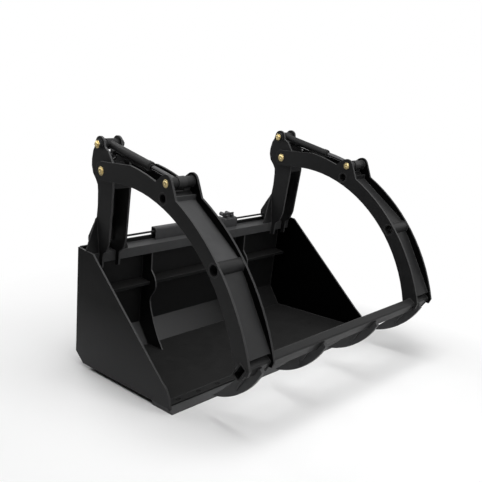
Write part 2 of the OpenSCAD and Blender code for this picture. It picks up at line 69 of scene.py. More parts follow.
# Arms and towers, in metres: middle plane, half width over the plates, plate thickness
ARM_X = 0.790
ARM_HALF = 0.0950
TOWER_HALF = 0.0665
PLATE_T = 0.0127

# Middle lines that run across the tool, and how far the rod eye's paint reaches
PIVOT = Vector((0.0, 0.0, 1.300))
TOP_PIN = Vector((0.0, 0.043, 1.451))
ROD_PIN = Vector((0.0, -0.611, 1.280))
UPPER_TUBE = Vector((0.0, -0.581, 1.198))
LOWER_TUBE = Vector((0.0, -0.980, 0.882))
ROD_EYE_R = 0.0365

# A cylinder's direction from its base pin to the rod pin, and square to that, downward
CYL_DIR = (ROD_PIN - TOP_PIN).normalized()
CYL_DOWN = Vector((0.0, -CYL_DIR.z, CYL_DIR.y))

# The leaning back sheet, from the lower end of its rear face
LEAN = math.radians(8.7)
BACK_FOOT = Vector((0.0, 0.330, 0.094))

# The crossbar's section, and the tines on it
BAR_ANGLE = math.radians(36.5)
BAR_CENTRE = Vector((0.0, -1.168, 0.394))
BAR_HALF = (0.027, 0.049)
BAR_ROUND = 0.012
CORNER_STEPS = 4
TINE_COUNT = 4
TINE_HALF = 0.011
TINE_PITCH = 0.514

# Weld lines on the arms: rings as centre and radius, seams as depth and height from the pivot
WELD_PROUD = 0.0005
ARM_RINGS = ((ROD_PIN, 0.0305), (UPPER_TUBE, 0.0345), (LOWER_TUBE, 0.0385))
WEB_SEAMS = (
    ((-0.645, -0.089), (-0.640, -0.117), (-0.953, -0.3635)),
    ((-1.021, -0.4715), (-1.211, -0.840)),
)

# Weld lines on the towers: ring radii, and the column web's depth and two heights
HUB_RING_R = 0.0455
TOP_RING_R = 0.0275
COLUMN_SEAM_Y = 0.1175
COLUMN_SEAM_Z = (0.784, 0.996)

# Weld lines in the bucket: forward from the back's rear face, up along the back, and places
SHEET_FACE = 0.0125
TUBE_FACE = 0.1125
TUBE_SEAM_T = (0.622, 0.7105)
SIDE_SEAM_X = 0.9275
SIDE_SEAM_T = 0.646
HEEL_T = 0.094
FLOOR_SEAM_Z = 0.0375
SIDE_SEAM_Y = (0.207, -0.60)
RIB_SEAMS_X = (-0.4455, -0.4345, 0.4345, 0.4455)
RIB_SEAM_T = (0.645, 0.436, 0.414)
RIB_SEAM_Y = (0.208, 0.046)
EDGE_SEAM = ((-0.925, -0.590, 0.0368), (0.925, -0.590, 0.0368))

# Weld lines on the tines, as back and up in the crossbar's section
TINE_SEAM = (
    (-0.0275, 0.018), (-0.0275, -0.038), (-0.0240, -0.0465), (-0.0150, -0.0497),
    (0.0190, -0.0497),
)
FIN_SEAM_BACK = 0.0043
FIN_SEAM_UP = (-0.052, -0.214)
BEAD_SPACING = 0.62
BEAD_FLATNESS = 0.9

# Plow bolts: turned shapes as (height, radius), their feet and their row
BOLT_PROFILE = (
    (0.0, 0.0), (0.0, 0.0093), (0.026, 0.0093), (0.026, 0.0155),
    (0.0305, 0.0168), (0.0320, 0.0168), (0.0328, 0.0158), (0.0332, 0.0),
)
NUT_PROFILE = (
    (0.0, 0.0), (0.0, 0.0142), (0.0016, 0.0163), (0.0134, 0.0163),
    (0.0148, 0.0142), (0.0148, 0.0),
)
BOLT_FOOT = 0.0018
NUT_FOOT = 0.0022
BOLT_ROW_Y = -0.618

# Pins: node, body, middle line, shank radius, washer radius, and how far from the arm's
# middle the washer starts and the head ends
PINS = (
    ("pivot_pins", "bucket", PIVOT, 0.025, 0.0275, 0.0953, 0.103),
    ("top_pins", "bucket", TOP_PIN, 0.016, 0.0235, 0.0825, 0.0965),
    ("rod_pins", "clamp", ROD_PIN, 0.014, 0.0225, 0.0950, 0.1000),
)
WASHER_CHAMFER = 0.0012
SEAT_CHAMFER = 0.0008
SEAT_SHARE = 0.45
HEAD_SINK = 0.0004
HEAD_CHAMFER = 0.0022
HEAD_DISH = 0.0012

# A pin head's radius as a share of the washer's, then its end and dish as shares of that
HEAD_SHARE = 0.74
END_SHARE = 0.84
DISH_SHARES = (0.36, 0.30)

# Cylinder fittings: turned shapes as (along, radius), and where the ports stand
GLAND_PROFILE = (
    (0.4202, 0.0135), (0.4202, 0.0252), (0.4216, 0.0266), (0.4234, 0.0266),
    (0.4246, 0.0252), (0.4246, 0.0180), (0.4262, 0.0172), (0.4274, 0.0158),
    (0.4274, 0.0135),
)
PORT_NUT_PROFILE = (
    (0.0, 0.0), (0.0, 0.0095), (0.001, 0.0108), (0.010, 0.0108),
    (0.011, 0.0095), (0.011, 0.0),
)
PORT_OFFSETS = (-0.013, 0.013)
PORT_ALONG = 0.062
PORT_NUT_BELOW = 0.0425
PORT_ELBOW_BELOW = 0.0500
ELBOW_R = 0.0065
ELBOW_SIDES = 12

# How far an elbow's points lie below its port, or below its hose's lower end and out from
# the tower's plate, and how far an elbow reaches into its hose
PORT_ELBOW_DROPS = (0.008, 0.018)
BULKHEAD_ELBOW_DROPS = (0.020, 0.018, 0.008)
BULKHEAD_ELBOW_OUT = 0.008
ELBOW_INSERT = 0.012

# Hoses: how far each point has gone across from the elbow's side to the port's side, its
# depth, which differs for the hose next to the tower's inner plate, and its height
TOWER_INSIDE = ARM_X - TOWER_HALF + PLATE_T
HOSE_CLEAR = 0.016
HOSE_SPREAD = 1.2
HOSE_ACROSS = (0.0, 0.06, 0.2, 0.4, 0.75, 0.95, 1.0, 1.0)
NEAR_DEPTHS = (0.180, 0.172, 0.150, 0.122)
FAR_DEPTHS = (0.150, 0.146, 0.130, 0.108)
LAST_DEPTHS = (0.086, 0.070, 0.063, 0.068)
HOSE_HEIGHTS = (0.866, 0.895, 0.930, 0.965, 1.020, 1.090, 1.170, 1.240)
BEND_CENTRE = Vector((0.0, 0.010, 1.300))
BEND_R = 0.064
BEND_ANGLES = (0, 22.5, 45, 67.5, 90)
PATH_STEPS = 6

# Colours over the paint: dust, specks and bare steel, and painted highlights, painted light
# and painted shade
DUST = (0.075, 0.073, 0.069)
SPECK = (0.10, 0.098, 0.094)
BARE_STEEL = (0.20, 0.19, 0.18)
EDGE_HIGHLIGHT = (0.085, 0.085, 0.085)
HEEL_LIGHT = (0.050, 0.050, 0.051)
RIM_LIGHT = (0.13, 0.13, 0.132)
FLOOR_LIGHT = (0.045, 0.045, 0.046)
NEAR_BLACK_SHADE = (0.0006, 0.0006, 0.0006)

# Where the painted light on the heel ends to the right and the painted light from the floor
# ends upward, and edge radii
HEEL_LIGHT_END_X = 0.30
FLOOR_LIGHT_END_Z = 0.50
HIGHLIGHT_EDGE_R = 0.003
PAINTED_EDGE_R = 0.0016
PLATED_EDGE_R = 0.0008

# Each coat's share of the paint's colour, and what it has of its own. The shares of the tubes,
# guard, webs, tines, side plates and the bucket's inner sheet, ledge and wear bars make
# lighter and darker copies of one paint: painted light where parts face the lamps, painted
# shade where they face away or lie deep in the bucket
COATS = {
    "powder_coat": (1.0, {}),
    "shaded_inner_coat": (0.65, {"rough": 0.46, "dust": 0.8, "heel": 1.0}),
    "lit_coat": (3.4, {}),
    "half_lit_coat": (1.7, {}),
    "shaded_web_coat": (1.15, {}),
    "plate_coat": (1.0, {"rim": 0.45}),
    "arm_coat": (1.0, {"rim": 0.2}),
    "shaded_far_arm_coat": (1.0, {"rim": 0.2, "gloss": 0.045, "shade": 0.9}),
    "side_coat": (0.45, {"rim": 0.6, "gloss": 0.045, "low": 1.0}),
    "shaded_far_side_coat": (0.45, {"rim": 0.6, "gloss": 0.03, "shade": 0.95}),
    "edge_coat": (4.6, {"rough": 0.44, "wear": 0.2}),
    "lit_tine_coat": (3.8, {}),
    "bolt_black": (0.5, {"rough": 0.5, "dust": 0.2}),
}

# The finish of each slot of the part, and the coats of single nodes, where the first
# pattern that fits a node's name counts
SLOT_FINISHES = {
    "black_paint": "powder_coat", "edge_paint": "edge_coat",
    "dark_bolt": "bolt_black", "yellow_zinc": "yellow_zinc",
    "rod_chrome": "rod_chrome", "zinc_steel": "bright_zinc",
}
NODE_COATS = (
    ("side_plate_right", "shaded_far_side_coat"),
    ("side_plate_left", "side_coat"),
    ("arm_left_inner_plate|arm_right_outer_plate", "shaded_far_arm_coat"),
    ("arm_.*_plate", "arm_coat"),
    (".*_plate|back_ribs|pin_gussets", "plate_coat"),
    ("clamp_tines|tine_fins", "lit_tine_coat"),
    ("bucket_shell|mid_ledge|wear_bars", "shaded_inner_coat"),
    ("top_tube|hose_guard|guard_cover|arm_left_web_upper", "lit_coat"),
    ("arm_right_web_.*", "shaded_web_coat"),
    ("arm_left_web_lower", "half_lit_coat"),
)

# Studio floor: half width, and where it fades to white round a middle and to the right
FLOOR_HALF = 30
FADE_MIDDLE = Vector((0.1, -0.3, 0.0))
FADE_START = 1.1
FADE_RIGHT = 1.05
SOFT_WORLD = 0.02

# Each lamp's name, height in degrees, turn from +X in degrees, and power in watts
STUDIO_LAMPS = (
    ("overhead", 85, 270, 100), ("high left", 60, 180, 42), ("high front left", 60, 240, 62),
    ("high front right", 60, 300, 25), ("high rear left", 60, 120, 16),
    ("front", 32, 270, 87), ("rear", 32, 90, 88), ("right", 32, 330, 20),
)
LAMP_AIM = Vector((0.0, -0.4, 0.4))
LAMP_DISTANCE = 5.0
LAMP_SIZE = 2.6

# Camera: place in metres, angles in degrees, lens and sensor in millimetres
CAMERA_PLACE = Vector((-2.8972, -3.2160, 1.6732))
CAMERA_AZIMUTH = -45.326
CAMERA_ELEVATION = 14.838
CAMERA_ROLL = 0.5882
CAMERA_SHIFT = (-0.0159, 0.0642)
CAMERA_LENS = 46.62
CAMERA_SENSOR = 36.0


# Places on the object

def on_back(x, forward, along):
    """Point on the leaning back, forward from its rear face and up along it."""
    return Vector((
        x,
        BACK_FOOT.y - along * math.sin(LEAN) - forward * math.cos(LEAN),
        BACK_FOOT.z + along * math.cos(LEAN) - forward * math.sin(LEAN),
    ))


def on_cylinder(x, along, below):
    """Point along a cylinder from its base pin, and below its middle line."""
    return TOP_PIN + Vector((x, 0, 0)) + CYL_DIR * along + CYL_DOWN * below


def on_bar(x, back, up):
    """Point in the crossbar's own section."""
    c, s = math.cos(BAR_ANGLE), math.sin(BAR_ANGLE)
    return BAR_CENTRE + Vector((x, back * c - up * s, back * s + up * c))


def bar_seam(x):
    """Points round the crossbar, from its rear bottom corner over the top to its front."""
    corners = ((1, -1, -90), (1, 1, 0), (-1, 1, 90))
    radius = BAR_ROUND + WELD_PROUD
    points = []
    for sign_back, sign_up, start in corners:
        for step in range(CORNER_STEPS + 1):
            angle = math.radians(start + 90 / CORNER_STEPS * step)
            points.append(on_bar(
                x,
                sign_back * (BAR_HALF[0] - BAR_ROUND) + radius * math.cos(angle),
                sign_up * (BAR_HALF[1] - BAR_ROUND) + radius * math.sin(angle)))
    points.append(on_bar(x, -BAR_HALF[0] - WELD_PROUD, BAR_ROUND - BAR_HALF[1]))
    return points


def ring_points(x, centre, radius, count=40):
    """Points round a circle whose axis runs across the tool."""
    return [
        Vector((x, centre.y + radius * math.cos(angle), centre.z + radius * math.sin(angle)))
        for angle in (2 * math.pi * i / count for i in range(count))
    ]


def upright(angle):
    """Direction in the YZ plane, turned up from the rear by an angle in degrees."""
    return Vector((0, math.cos(math.radians(angle)), math.sin(math.radians(angle))))


# Sizes and colours a user would change

class GrappleSettings(bpy.types.PropertyGroup):
    paint: bpy.props.FloatVectorProperty(
        name="Paint", description="Colour of the satin powder coat",
        subtype="COLOR", size=3, min=0, max=1, default=(0.0120, 0.0121, 0.0124))
    paint_rough: bpy.props.FloatProperty(
        name="Paint roughness", description="Roughness of the powder coat",
        min=0.1, max=0.9, default=0.42, subtype="FACTOR")
    plating: bpy.props.FloatVectorProperty(
        name="Plating", description="Colour of the yellow zinc on the pins",
        subtype="COLOR", size=3, min=0, max=1, default=(0.55, 0.45, 0.22))
    floor: bpy.props.FloatVectorProperty(
        name="Floor", description="Colour of the studio floor",
        subtype="COLOR", size=3, min=0, max=1, default=(0.86, 0.86, 0.86))


class FittingSettings(bpy.types.PropertyGroup):
    hose_d: bpy.props.FloatProperty(
        name="Hose diameter", description="Outside diameter of the cylinder hoses",
        min=0.008, max=0.03, default=0.016, unit="LENGTH")
    bead_w: bpy.props.FloatProperty(
        name="Weld width", description="Width of a weld bead",
        min=0.003, max=0.015, default=0.008, unit="LENGTH")
    bolt_pitch: bpy.props.FloatProperty(
        name="Bolt pitch", description="Distance between the plow bolts",
        min=0.1, max=0.2, default=0.1524, unit="LENGTH")
    bolt_count: bpy.props.IntProperty(
        name="Plow bolts", description="Number of plow bolts in the edge",
        min=2, max=12, default=12)


# Node trees

class Wire:
    """A node's output that takes part in sums."""

    def __init__(self, graph, out):
        self.graph = graph
        self.out = out

    def _math(self, operation, a, b):
        return self.graph.node("ShaderNodeMath", {"operation": operation}, {0: a, 1: b})

    def __add__(self, other):
        return self._math("ADD", self, other)

    __radd__ = __add__

    def __mul__(self, other):
        return self._math("MULTIPLY", self, other)

    __rmul__ = __mul__

    def __sub__(self, other):
        return self._math("SUBTRACT", self, other)

    def __rsub__(self, other):
        return self._math("SUBTRACT", other, self)

    def __gt__(self, other):
        return self._math("GREATER_THAN", self, other)

    def clamp(self):
        """The value kept between 0 and 1."""
        return self.graph.node(
            "ShaderNodeMath", {"operation": "ADD", "use_clamp": True}, {0: self, 1: 0.0})

    def above(self, level, gain):
        """What the value has above a level, times a gain."""
        return (self - level).clamp() * gain

    def beside(self, name):
        """Another output of the same node."""
        return Wire(self.graph, self.out.node.outputs[name])


class Graph:
    """The node tree of a material, of the world or of a Geometry Nodes modifier."""

    def __init__(self, tree):
        self.tree = tree
        self.tree.nodes.clear()

    def node(self, kind, settings=None, values=None, out=0):
        made = self.tree.nodes.new(kind)
        for key, value in (settings or {}).items():
            setattr(made, key, value)
        for key, value in (values or {}).items():
            socket = made.inputs[key]
            if isinstance(value, Wire):
                self.tree.links.new(value.out, socket)
            elif hasattr(value, "__len__") and len(value) == 3 and socket.type == "RGBA":
                socket.default_value = (*value, 1.0)
            else:
                socket.default_value = value
        return Wire(self, made.outputs[out])

    def end(self, kind, wire):
        """Leads a wire to a new output node."""
        sink = self.tree.nodes.new(kind)
        self.tree.links.new(wire.out, sink.inputs[0])

    def mix(self, factor, a, b):
        """Colour b over colour a, which are the Mix node's inputs 7 and 6."""
        return self.node("ShaderNodeMix", {"data_type": "RGBA"}, {0: factor, 6: a, 7: b}, 2)

    def noise(self, place, scale, detail=3.0, rough=0.5):
        return self.node(
            "ShaderNodeTexNoise", {},
            {"Vector": place, "Scale": scale, "Detail": detail, "Roughness": rough})

    def place(self):
        """Object coordinates."""
        return self.node("ShaderNodeTexCoord", out="Object")

    def part(self, vector, axis):
        """One coordinate of a vector: 0 for X, 1 for Y, 2 for Z."""
        return self.node("ShaderNodeSeparateXYZ", {}, {0: vector}, axis)

    def distance(self, a, b):
        return self.node(
            "ShaderNodeVectorMath", {"operation": "DISTANCE"}, {0: a, 1: b}, "Value")

    def true_normal(self):
        return self.node("ShaderNodeNewGeometry", out="Normal")

    def alike(self, a, b):
        """1 where two directions are the same, 0 where they are square to each other."""
        return self.node(
            "ShaderNodeVectorMath", {"operation": "DOT_PRODUCT"}, {0: a, 1: b}, "Value")

    def facing(self, way):
        """How far a face looks one way, from 0 to 1."""
        return self.alike(self.true_normal(), way).clamp()

    def facing_rim(self):
        """How far a plate's narrow edge looks up or forward."""
        return (self.facing(UP) * 0.8 + self.facing(FORWARD) * 0.7 - 0.15).clamp()

    def facing_heel(self):
        """How far a face looks both up and forward, as the bucket's heel does."""
        return (self.facing(UP) * self.facing(FORWARD)).above(0.2, 6.0).clamp()

    def facing_left(self):
        """1 on faces that look to the left, as the inner faces of the right plates do."""
        return self.facing(LEFT).above(0.9, 12.0).clamp()

    def round_edges(self, radius):
        return self.node("ShaderNodeBevel", {"samples": 4}, {"Radius": radius})

    def plate_edges(self, radius):
        """1 on the sharp edges of a plate, 0 on its faces."""
        return ((1.0 - self.alike(self.round_edges(radius), self.true_normal())) * 9.0).clamp()

    def bump(self, height, strength, distance, normal=None):
        values = {"Height": height, "Strength": strength, "Distance": distance}
        if normal is not None:
            values["Normal"] = normal
        return self.node("ShaderNodeBump", {}, values)

    def light_path(self, name):
        return self.node("ShaderNodeLightPath", out=name)

    def principled(self, values):
        return self.node("ShaderNodeBsdfPrincipled", {}, values)

    def copies(self, points, shape, material, more=None):
        """A copy of a shape on each point, in one material."""
        info = self.node("GeometryNodeObjectInfo", {}, {"Object": shape}, "Geometry")
        put = self.node("GeometryNodeInstanceOnPoints", {}, {
            "Points": points, "Instance": info, **(more or {})})
        real = self.node("GeometryNodeRealizeInstances", {}, {0: put})
        return self.node(
            "GeometryNodeSetMaterial", {}, {"Geometry": real, "Material": material})


def shader_graph(owner):
    """An empty graph for a material or a world."""
    owner.use_nodes = True
    return Graph(owner.node_tree)


def geometry_graph(name, inputs):
    """An empty Geometry Nodes graph, and a wire from each of its named inputs."""
    tree = bpy.data.node_groups.new(name, "GeometryNodeTree")
    kinds = {"Geometry": "NodeSocketGeometry", **inputs}
    for label, kind in kinds.items():
        tree.interface.new_socket(label, in_out="INPUT", socket_type=kind)
    tree.interface.new_socket("Geometry", in_out="OUTPUT", socket_type="NodeSocketGeometry")
    g = Graph(tree)
    source = tree.nodes.new("NodeGroupInput")
    return g, {label: Wire(g, source.outputs[label]) for label in kinds}


# Finishes

FINISHES = {}


def finish(name):
    """A new named material's graph."""
    material = bpy.data.materials.new(name)
    FINISHES[name] = material
    return shader_graph(material)


def scaled(colour, share):
    return tuple(min(1.0, c * share) for c in colour)


def make_powder_coat(name, colour, rough, dust=0.5, wear=0.0, heel=0.0, rim=0.0, low=0.0,
                     gloss=0.11, shade=0.0):
    """Satin black coat with a fine orange peel, light dust and bare scuffs, and painted light
    and shade: highlights on sharp edges, light on faces that look up or forward, on the heel
    and low down, and near-black shade on faces that look left.
    """
    g = finish(name)
    at = g.place()
    broad = g.noise(at, scale=2.2, detail=4.0, rough=0.6)
    cloud = g.noise(at, scale=17.0, detail=5.0, rough=0.65)
    peel = g.noise(at, scale=900.0, detail=2.0, rough=0.5)
    grit = g.noise(at, scale=260.0, detail=4.0, rough=0.7)
    base = g.mix(broad, scaled(colour, 0.72), scaled(colour, 1.35))
    base = g.mix(cloud.above(0.45, 1.6), base, scaled(colour, 1.3))
    settled = g.facing(UP) * (cloud * 0.8 + 0.2) * dust
    # Painted light on faces that look both up and forward, on the left part of the bucket only
    if heel:
        heel_lit_side = ((HEEL_LIGHT_END_X - g.part(at, 0)) * 1.6).clamp()
        base = g.mix(g.facing_heel() * heel_lit_side * heel, base, HEEL_LIGHT)
    # Painted highlight on faces that look up or forward, which on the plates are their narrow
    # edges
    if rim:
        base = g.mix(g.facing_rim() * rim, base, RIM_LIGHT)
    # Painted light from the floor on the lower part, lighter towards the bottom
    if low:
        near_ground = ((FLOOR_LIGHT_END_Z - g.part(at, 2)) * 2.2).clamp()
        base = g.mix(near_ground * low, base, FLOOR_LIGHT)
    # Painted shade, almost black, on faces that look left, such as the inner faces of the
    # right plates
    if shade:
        base = g.mix(g.facing_left() * shade, base, NEAR_BLACK_SHADE)
    base = g.mix(settled * 0.12, base, DUST)
    # Painted highlight along the sharp edges, patchy with the cloud noise
    base = g.mix(g.plate_edges(HIGHLIGHT_EDGE_R) * (cloud * 0.7 + 0.3), base, EDGE_HIGHLIGHT)
    speck = grit.above(0.66, 5.0)
    base = g.mix(speck.clamp() * 0.12, base, SPECK)
    if wear:
        scuffs = g.noise(at, scale=42.0, detail=6.0, rough=0.72)
        base = g.mix(scuffs.above(0.56, 6.0).clamp() * wear, base, BARE_STEEL)
    roughness = (cloud * 0.16 + (rough - 0.08) + settled * 0.2 + speck * 0.05).clamp()
    normal = g.bump(
        peel * 0.5 + cloud * 0.5, strength=0.12, distance=0.0004,
        normal=g.round_edges(PAINTED_EDGE_R))
    g.end("ShaderNodeOutputMaterial", g.principled({
        "Base Color": base, "Roughness": roughness, "Normal": normal,
        "Specular IOR Level": gloss, "IOR": 1.5,
    }))


def make_plating(name, colour, rough, tint):
    """Plated steel with a slow change of tint and fine turning marks."""
    g = finish(name)
    at = g.place()
    slow = g.noise(at, scale=24.0, rough=0.6)
    fine = g.noise(at, scale=420.0, rough=0.6)
    base = g.mix(slow, colour, tint)
    base = g.mix(fine.above(0.55, 1.5), base, scaled(colour, 0.45))
    roughness = (slow * 0.2 + fine * 0.12 + (rough - 0.14)).clamp()
    normal = g.bump(fine, strength=0.15, distance=0.0002, normal=g.round_edges(PLATED_EDGE_R))
    g.end("ShaderNodeOutputMaterial", g.principled({
        "Base Color": base, "Roughness": roughness, "Normal": normal, "Metallic": 1.0,
    }))


def make_chrome(name, paint):
    """Polished rod with a faint oil film, and a painted eye."""
    g = finish(name)
    at = g.place()
    film = g.noise(at, scale=35.0, detail=4.0, rough=0.6)
    rod = g.principled({
        "Base Color": g.mix(
            film.above(0.5, 2.0), (0.075, 0.075, 0.078), (0.045, 0.044, 0.042)),
        "Roughness": (film * 0.14 + 0.16).clamp(), "Metallic": 1.0,
    })
    eye = g.principled({
        "Base Color": g.mix(film, scaled(paint, 0.6), paint),
        "Roughness": (film * 0.2 + 0.4).clamp(), "Specular IOR Level": 0.25,
    })
    flat = g.node("ShaderNodeVectorMath", {"operation": "MULTIPLY"}, {0: at, 1: (0, 1, 1)})
    outside = g.distance(flat, ROD_PIN) > ROD_EYE_R
    g.end("ShaderNodeOutputMaterial",
          g.node("ShaderNodeMixShader", {}, {0: outside, 1: eye, 2: rod}))


def make_rubber(name):
    """Black hose cover with a fine grain."""
    g = finish(name)
    at = g.place()
    grain = g.noise(at, scale=700.0, rough=0.7)
    cloud = g.noise(at, scale=30.0, detail=4.0, rough=0.6)
    g.end("ShaderNodeOutputMaterial", g.principled({
        "Base Color": g.mix(cloud, (0.009, 0.009, 0.009), (0.022, 0.022, 0.021)),
        "Roughness": (cloud * 0.2 + 0.5).clamp(),
        "Normal": g.bump(grain, strength=0.3, distance=0.0004),
    }))


# Mesh helpers

def linked(name, mesh, material=None, body=None):
    """A new object in the scene, with its finish and the body that it rides on, if any."""
    piece = bpy.data.objects.new(name, mesh)
    bpy.context.scene.collection.objects.link(piece)
    if material:
        mesh.materials.append(FINISHES[material])
    if body:
        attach(piece, body)
    return piece


def smooth_by_angle(mesh, degrees):
    for face in mesh.polygons:
        face.use_smooth = True
    mesh.set_sharp_from_angle(angle=math.radians(degrees))


def mesh_from(bm, name, degrees):
    bmesh.ops.remove_doubles(bm, verts=bm.verts, dist=0.00001)
    bmesh.ops.recalc_face_normals(bm, faces=bm.faces)
    mesh = bpy.data.meshes.new(name)
    bm.to_mesh(mesh)
    bm.free()
    smooth_by_angle(mesh, degrees)
    return mesh


def add_ring(bm, centre, side, other, radius, count):
    """Vertices round a centre, in the plane of two directions."""
    return [
        bm.verts.new(centre + (side * math.cos(angle) + other * math.sin(angle)) * radius)
        for angle in (2 * math.pi * i / count for i in range(count))
    ]


def add_turned(bm, profile, origin, direction, sides=48):
    """Closed turned shape: profile is (along, radius) from end to end."""
    axis = direction.normalized()
    side = axis.orthogonal().normalized()
    other = axis.cross(side)
    rings = []
    for along, radius in profile:
        if radius < 1e-6:
            rings.append([bm.verts.new(origin + axis * along)])
        else:
            rings.append(add_ring(bm, origin + axis * along, side, other, radius, sides))
    for low, high in zip(rings, rings[1:]):
        for i in range(sides):
            j = (i + 1) % sides
            if len(low) == 1 and len(high) == 1:
                continue
            if len(low) == 1:
                bm.faces.new((low[0], high[j], high[i]))
            elif len(high) == 1:
                bm.faces.new((low[i], low[j], high[0]))
            else:
                bm.faces.new((low[i], low[j], high[j], high[i]))


def add_tube(bm, points, radius, sides=16):
    """Round bar swept along smooth points, closed at both ends."""
    rings = []
    previous = None
    for i, point in enumerate(points):
        ahead = points[min(i + 1, len(points) - 1)]
        behind = points[max(i - 1, 0)]
        axis = (ahead - behind).normalized()
        side = axis.orthogonal().normalized() if previous is None else (
            previous - axis * previous.dot(axis)).normalized()
        previous = side
        rings.append(add_ring(bm, point, side, axis.cross(side), radius, sides))
    for low, high in zip(rings, rings[1:]):
        for i in range(sides):
            j = (i + 1) % sides
            bm.faces.new((low[i], low[j], high[j], high[i]))
    bm.faces.new(rings[0][::-1])
    bm.faces.new(rings[-1])


def smooth_path(points):
    """Catmull-Rom curve through the points."""
    ext = [points[0] * 2 - points[1], *points, points[-1] * 2 - points[-2]]
    out = []
    for i in range(1, len(ext) - 2):
        p0, p1, p2, p3 = ext[i - 1:i + 3]
        for k in range(PATH_STEPS):
            t = k / PATH_STEPS
            out.append(0.5 * (
                2 * p1 + (p2 - p0) * t + (2 * p0 - 5 * p1 + 4 * p2 - p3) * t * t
                + (3 * p1 - p0 - 3 * p2 + p3) * t ** 3))
    out.append(points[-1].copy())
    return out


def path_length(points):
    return sum((b - a).length for a, b in zip(points, points[1:]))


def polyline_object(name, paths):
    """Loose edges that a Geometry Nodes tree follows; each path is (points, closed)."""
    mesh = bpy.data.meshes.new(name)
    verts, edges = [], []
    for path, closed in paths:
        first = len(verts)
        verts.extend(path)
        edges.extend((first + i, first + i + 1) for i in range(len(path) - 1))
        if closed:
            edges.append((first + len(path) - 1, first))
    mesh.from_pydata(verts, edges, [])
    return linked(name, mesh)


def run_tree(holder, tree, values, name, body, degrees):
    """Applies a tree to its holder and keeps the plain mesh."""
    modifier = holder.modifiers.new("make", "NODES")
    modifier.node_group = tree
    for item in tree.interface.items_tree:
        if item.in_out == "INPUT" and item.name in values:
            modifier[item.identifier] = values[item.name]
    depsgraph = bpy.context.evaluated_depsgraph_get()
    mesh = bpy.data.meshes.new_from_object(holder.evaluated_get(depsgraph))
    mesh.name = name
    bpy.data.objects.remove(holder)
    smooth_by_angle(mesh, degrees)
    return linked(name, mesh, body=body)


# Weld lines, each a list of points and whether it is closed

def arm_seams(side, face):
    """Round the tubes, along the webs and round the crossbar, at one plate of one arm."""
    x = side * ARM_X + face * (ARM_HALF - PLATE_T)
    rings = [(ring_points(x, centre, radius), True) for centre, radius in ARM_RINGS]
    webs = [([PIVOT + Vector((x, y, z)) for y, z in seam], False) for seam in WEB_SEAMS]
    bars = [(bar_seam(edge), False) for edge in (x, x + face * PLATE_T)]
    return rings + webs + bars


def tower_seams(side, face):
    """Round the hub and the top pin, and at the foot and column of one tower plate."""
    x = side * ARM_X + face * TOWER_HALF
    proud = x + face * WELD_PROUD
    low, high = TUBE_SEAM_T
    return [
        (ring_points(x - face * PLATE_T, PIVOT, HUB_RING_R), True),
        ([on_back(x, TUBE_FACE, low), on_back(x, TUBE_FACE, high),
          on_back(x, SHEET_FACE, high)], False),
        ([Vector((proud, COLUMN_SEAM_Y, z)) for z in COLUMN_SEAM_Z], False),
        (ring_points(x, TOP_PIN, TOP_RING_R), True),
    ]


def shell_seams():
    """Along the side plates, the back ribs and the weld-on edge."""
    seams = []
    for x in (-SIDE_SEAM_X, SIDE_SEAM_X):
        seams.append(([
            on_back(x, TUBE_FACE, SIDE_SEAM_T), on_back(x, SHEET_FACE, SIDE_SEAM_T),
            on_back(x, SHEET_FACE, HEEL_T),
            *(Vector((x, y, FLOOR_SEAM_Z)) for y in SIDE_SEAM_Y)], False))
    top, over_ledge, under_ledge = RIB_SEAM_T
    for x in RIB_SEAMS_X:
        seams.append(([
            on_back(x, SHEET_FACE, top), on_back(x, SHEET_FACE, over_ledge)], False))
        seams.append(([
            on_back(x, SHEET_FACE, under_ledge), on_back(x, SHEET_FACE, HEEL_T),
            *(Vector((x, y, FLOOR_SEAM_Z)) for y in RIB_SEAM_Y)], False))
    seams.append(([Vector(end) for end in EDGE_SEAM], False))
    return seams


def tine_seams(x):
    """Along one face of a tine where it meets the crossbar, and down its fin."""
    seams = [([on_bar(x, back, up) for back, up in TINE_SEAM], False)]
    for back in (-FIN_SEAM_BACK, FIN_SEAM_BACK):
        seams.append(([on_bar(x, back, up) for up in FIN_SEAM_UP], False))
    return seams


# Routes of the hoses and their elbows

def hose_path(side, off):
    """A cylinder hose's middle line, up the tower's column and forward to the port."""
    depths = (NEAR_DEPTHS if off * side < 0 else FAR_DEPTHS) + LAST_DEPTHS
    start = side * (TOWER_INSIDE + HOSE_CLEAR)
    end = side * ARM_X + off * HOSE_SPREAD
    points = [
        Vector((start + (end - start) * share, y, z))
        for share, y, z in zip(HOSE_ACROSS, depths, HOSE_HEIGHTS)
    ]
    middle = BEND_CENTRE + Vector((side * ARM_X + off, 0, 0))
    points += [middle + BEND_R * upright(angle) for angle in BEND_ANGLES]
    return smooth_path(points)


def port_elbow_path(port, top):
    """From a port on the barrel down and back to the hose's upper end."""
    near, far = PORT_ELBOW_DROPS
    return smooth_path([
        port, port + CYL_DOWN * near, (port + CYL_DOWN * far + top) / 2, top,
        top - FORWARD * ELBOW_INSERT,
    ])


def bulkhead_elbow_path(side, foot):
    """From the tower's inner plate out and up to the hose's lower end."""
    low, middle, high = BULKHEAD_ELBOW_DROPS
    return smooth_path([
        Vector((side * TOWER_INSIDE, foot.y, foot.z - low)),
        Vector((side * (TOWER_INSIDE + BULKHEAD_ELBOW_OUT), foot.y, foot.z - middle)),
        foot - UP * high, foot + UP * ELBOW_INSERT,
    ])


# Operators

